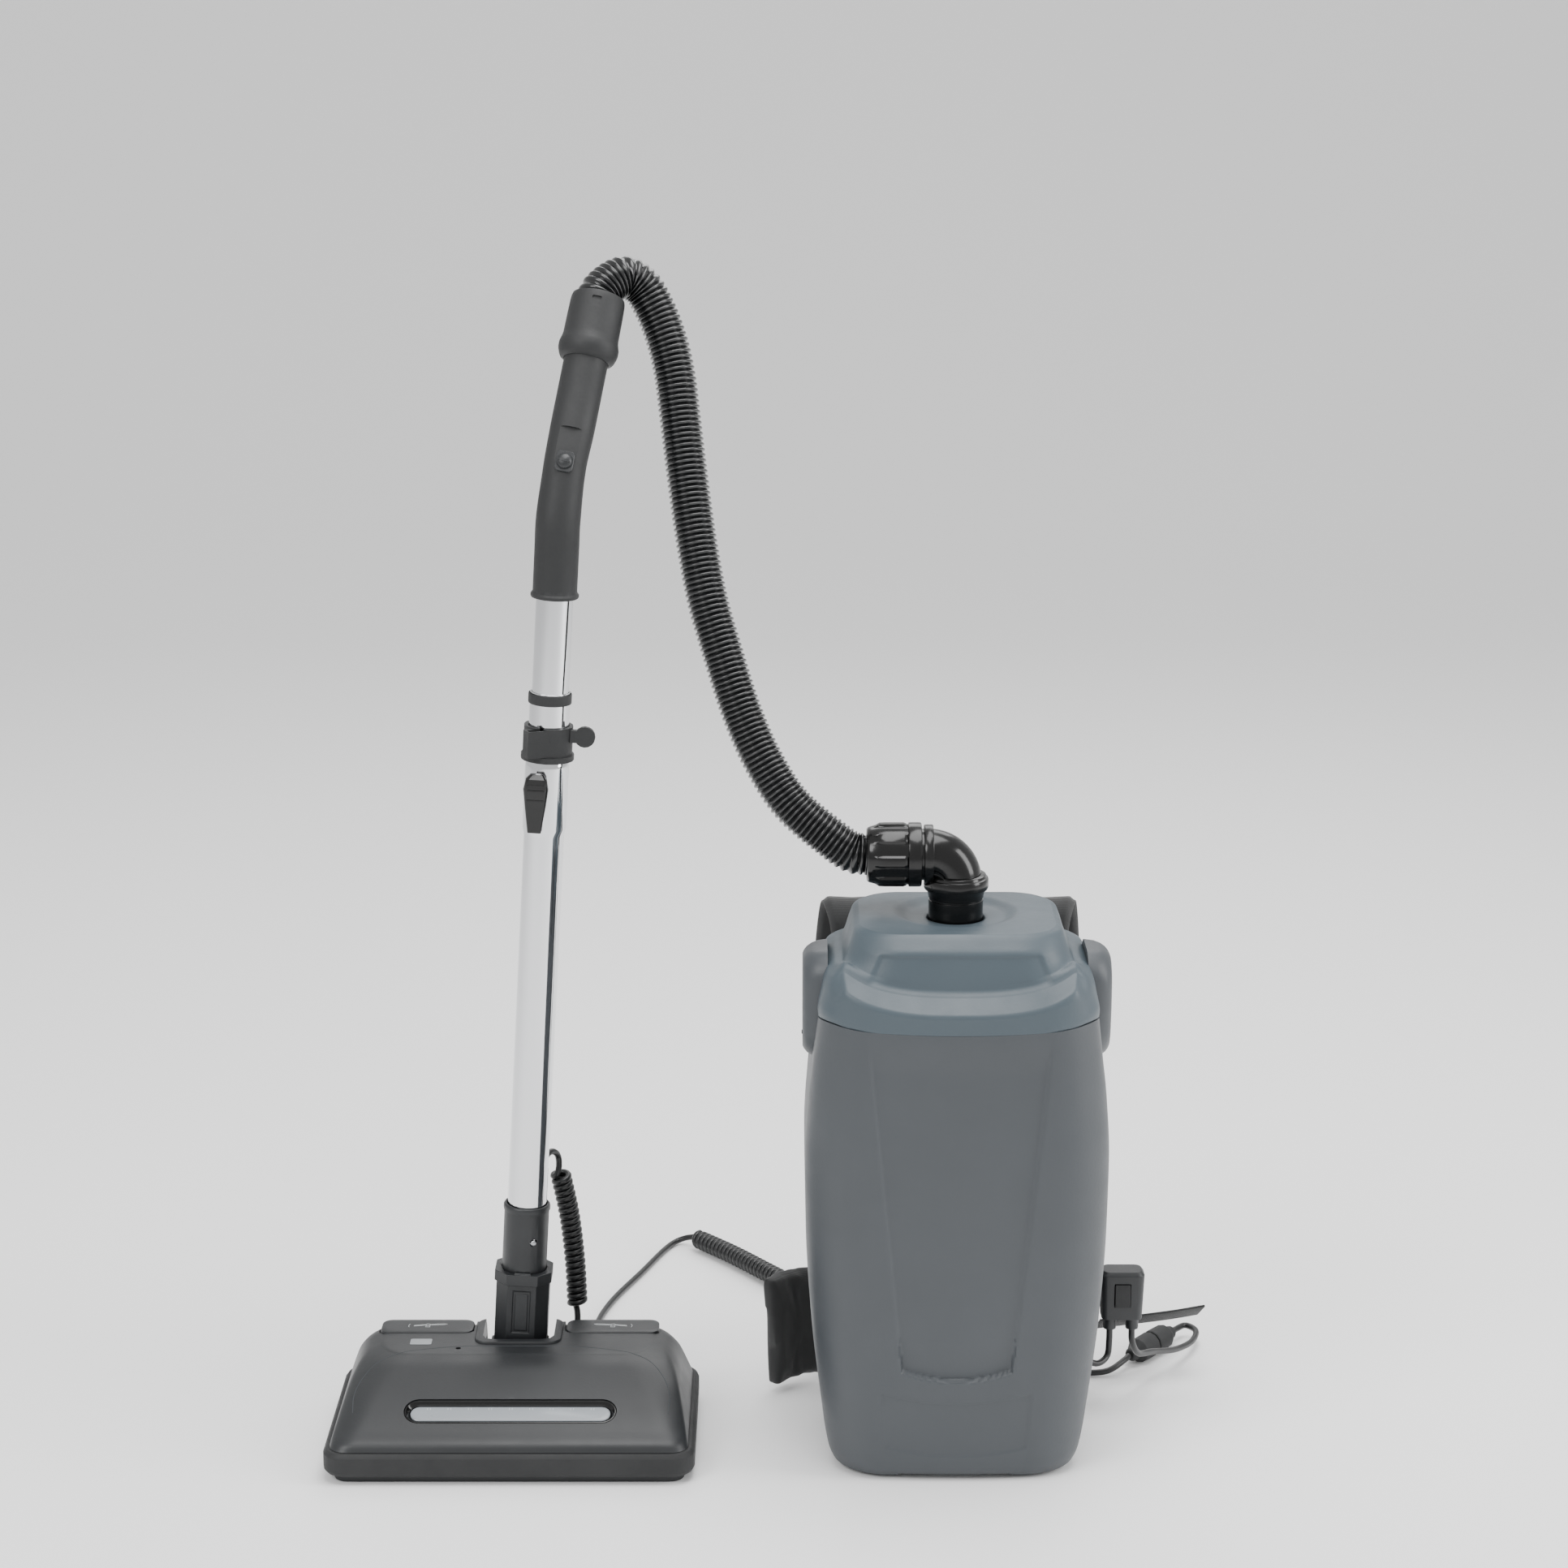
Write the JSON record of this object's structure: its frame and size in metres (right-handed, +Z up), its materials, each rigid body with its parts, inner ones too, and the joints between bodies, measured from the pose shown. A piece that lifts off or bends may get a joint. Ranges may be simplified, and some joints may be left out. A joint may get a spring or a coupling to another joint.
{
  "type": "backpack vacuum cleaner",
  "caption": "Backpack vacuum cleaner: grey casing with lid and harness, corrugated hose, telescopic chrome wand and motorised brush floor head",
  "frame": {"origin": "centre of the footprint of the casing, harness, floor head and wand together, on the floor", "axes": "+Z up, -Y the front of the casing and floor head, +X to the casing's side of the row"},
  "size_m": [0.8716, 0.6364, 1.1346],
  "materials": {
    "body_grey": "fine moulded texture, satin",
    "lid_grey": "blue-grey fine moulded texture",
    "latch_slate": "smooth slate grey",
    "satin_black": "satin black moulding",
    "soft_black": "soft-touch dark grey",
    "gloss_black": "polished black",
    "hose_black": "ribbed, shiny black",
    "chrome": "bright plated tube",
    "steel": "plain steel",
    "lens": "milky light diffuser",
    "bristle": "black nylon bristle on a hub",
    "webbing": "woven black strap",
    "cloth": "black padded cloth",
    "paper": "filter fleece",
    "rubber": "black rubber",
    "foam": "open-cell filter foam"
  },
  "bodies": {
    "base": {"main_shell": "body_grey", "motor_deck": "satin_black", "motor_housing": "satin_black", "motor_filter": "foam", "filter_bag": "paper", "bag_collar": "soft_black", "back_plate": "satin_black", "back_pad": "cloth", "lumbar_pad": "cloth", "shoulder_strap_left": "cloth", "shoulder_strap_right": "cloth", "waist_wing_left": "cloth", "waist_wing_right": "cloth", "belt_webbing": "webbing", "carry_handle": "webbing", "switch_box": "satin_black", "sole_plate": "satin_black", "head_base": "satin_black", "bumper": "rubber", "head_cover": "satin_black", "window_bezel": "gloss_black", "light_lens": "lens", "head_motor": "steel", "drive_belt": "rubber", "rear_axle": "steel", "pivot_pin": "steel", "hose": "hose_black", "belt_cord": "hose_black", "head_cord": "hose_black", "pigtail_cord": "hose_black", "switch_cord": "hose_black", "motor_lead": "hose_black", "connector_plug": "rubber", "connector_socket": "rubber"},
    "lid_body": {"lid": "lid_grey", "lid_seal": "rubber", "elbow_pipe": "gloss_black"},
    "hose_end": {"hose_cuff": "gloss_black"},
    "latch_l": {"latch_left": "latch_slate"},
    "latch_r": {"latch_right": "latch_slate"},
    "rotor": {"impeller": "steel"},
    "rocker": {"switch_rocker": "soft_black"},
    "pedal_l": {"pedal_left": "satin_black"},
    "pedal_r": {"pedal_right": "satin_black"},
    "brush": {"brush_roll": "bristle"},
    "pulley": {"motor_pulley": "steel"},
    "wheel_l": {"wheel_left": "rubber"},
    "wheel_r": {"wheel_right": "rubber"},
    "wand": {"neck_block": "satin_black", "neck_cap": "satin_black", "wand_socket": "satin_black", "lower_tube": "chrome", "entry_ring": "soft_black", "collar_clip": "soft_black"},
    "tube_lock": {"telescope_button": "gloss_black"},
    "socket_lock": {"socket_button": "steel"},
    "wand_upper": {"upper_tube": "chrome", "handle_grip": "soft_black"},
    "bleed": {"bleed_slider": "satin_black"},
    "cuff": {"handle_cuff": "soft_black"}
  },
  "joints": [
    {"name": "lid_lift", "type": "slide", "parent": "base", "child": "lid_body", "axis": [0, 0, 1], "range_m": [0, 0.12], "deforming": ["hose"]},
    {"name": "hose_cuff_swivel", "type": "hinge", "parent": "lid_body", "child": "hose_end", "pos_m": [0.10955, -0.0173, 0.5845], "axis": [1, 0, 0], "continuous": true},
    {"name": "latch_left_swing", "type": "hinge", "parent": "base", "child": "latch_l", "pos_m": [0.02555, -0.0393, 0.407], "axis": [0, -1, 0], "range_deg": [0, 55]},
    {"name": "latch_right_swing", "type": "hinge", "parent": "base", "child": "latch_r", "pos_m": [0.31155, -0.0393, 0.407], "axis": [0, 1, 0], "range_deg": [0, 55]},
    {"name": "impeller_spin", "type": "hinge", "parent": "base", "child": "rotor", "pos_m": [0.16855, -0.0393, 0.09], "axis": [0, 0, 1], "continuous": true},
    {"name": "rocker_tilt", "type": "hinge", "parent": "base", "child": "rocker", "pos_m": [0.34055, 0.0267, 0.122], "axis": [1, 0, 0], "range_deg": [-6, 6]},
    {"name": "pedal_left_press", "type": "hinge", "parent": "base", "child": "pedal_l", "pos_m": [-0.34845, 0.0221, 0.0799], "axis": [-1, 0, 0], "range_deg": [0, 5], "stiffness_Nm_per_rad": 0.8, "springref_deg": -2.86},
    {"name": "pedal_right_press", "type": "hinge", "parent": "base", "child": "pedal_r", "pos_m": [-0.16445, 0.0221, 0.0799], "axis": [-1, 0, 0], "range_deg": [0, 5], "stiffness_Nm_per_rad": 0.8, "springref_deg": -2.86},
    {"name": "brush_spin", "type": "hinge", "parent": "base", "child": "brush", "pos_m": [-0.25645, -0.1073, 0.028], "axis": [1, 0, 0], "continuous": true},
    {"name": "pulley_spin", "type": "hinge", "parent": "base", "child": "pulley", "pos_m": [-0.25645, -0.0473, 0.032], "axis": [1, 0, 0], "continuous": true},
    {"name": "wheel_left_spin", "type": "hinge", "parent": "base", "child": "wheel_l", "pos_m": [-0.38445, 0.0427, 0.014], "axis": [1, 0, 0], "continuous": true},
    {"name": "wheel_right_spin", "type": "hinge", "parent": "base", "child": "wheel_r", "pos_m": [-0.12845, 0.0427, 0.014], "axis": [1, 0, 0], "continuous": true},
    {"name": "wand_tilt", "type": "hinge", "parent": "base", "child": "wand", "pos_m": [-0.25645, 0.0287, 0.062], "axis": [-1, 0, 0], "range_deg": [0, 72], "deforming": ["hose", "head_cord"]},
    {"name": "wand_telescope", "type": "slide", "parent": "wand", "child": "wand_upper", "axis": [0.061, -0.0209, 0.9979], "range_m": [-0.085, 0.15], "deforming": ["hose"]},
    {"name": "tube_lock_press", "type": "slide", "parent": "wand", "child": "tube_lock", "axis": [0, 0.9998, 0.0209], "range_m": [0, 0.0012], "stiffness_N_per_m": 600, "springref_m": -0.002},
    {"name": "socket_lock_press", "type": "slide", "parent": "wand", "child": "socket_lock", "axis": [0, 0.9998, 0.0209], "range_m": [0, 0.0008], "stiffness_N_per_m": 600, "springref_m": -0.002},
    {"name": "bleed_slide", "type": "slide", "parent": "wand_upper", "child": "bleed", "axis": [0.1743, 0.4478, 0.877], "range_m": [0, 0.016]},
    {"name": "cuff_swivel", "type": "hinge", "parent": "wand_upper", "child": "cuff", "pos_m": [-0.17582, 0.08228, 1.06452], "axis": [0.1743, 0.4478, 0.877], "continuous": true}
  ],
  "couplings": [
    {"joint": "pulley_spin", "follows": "brush_spin", "ratio": 1.5}
  ]
}
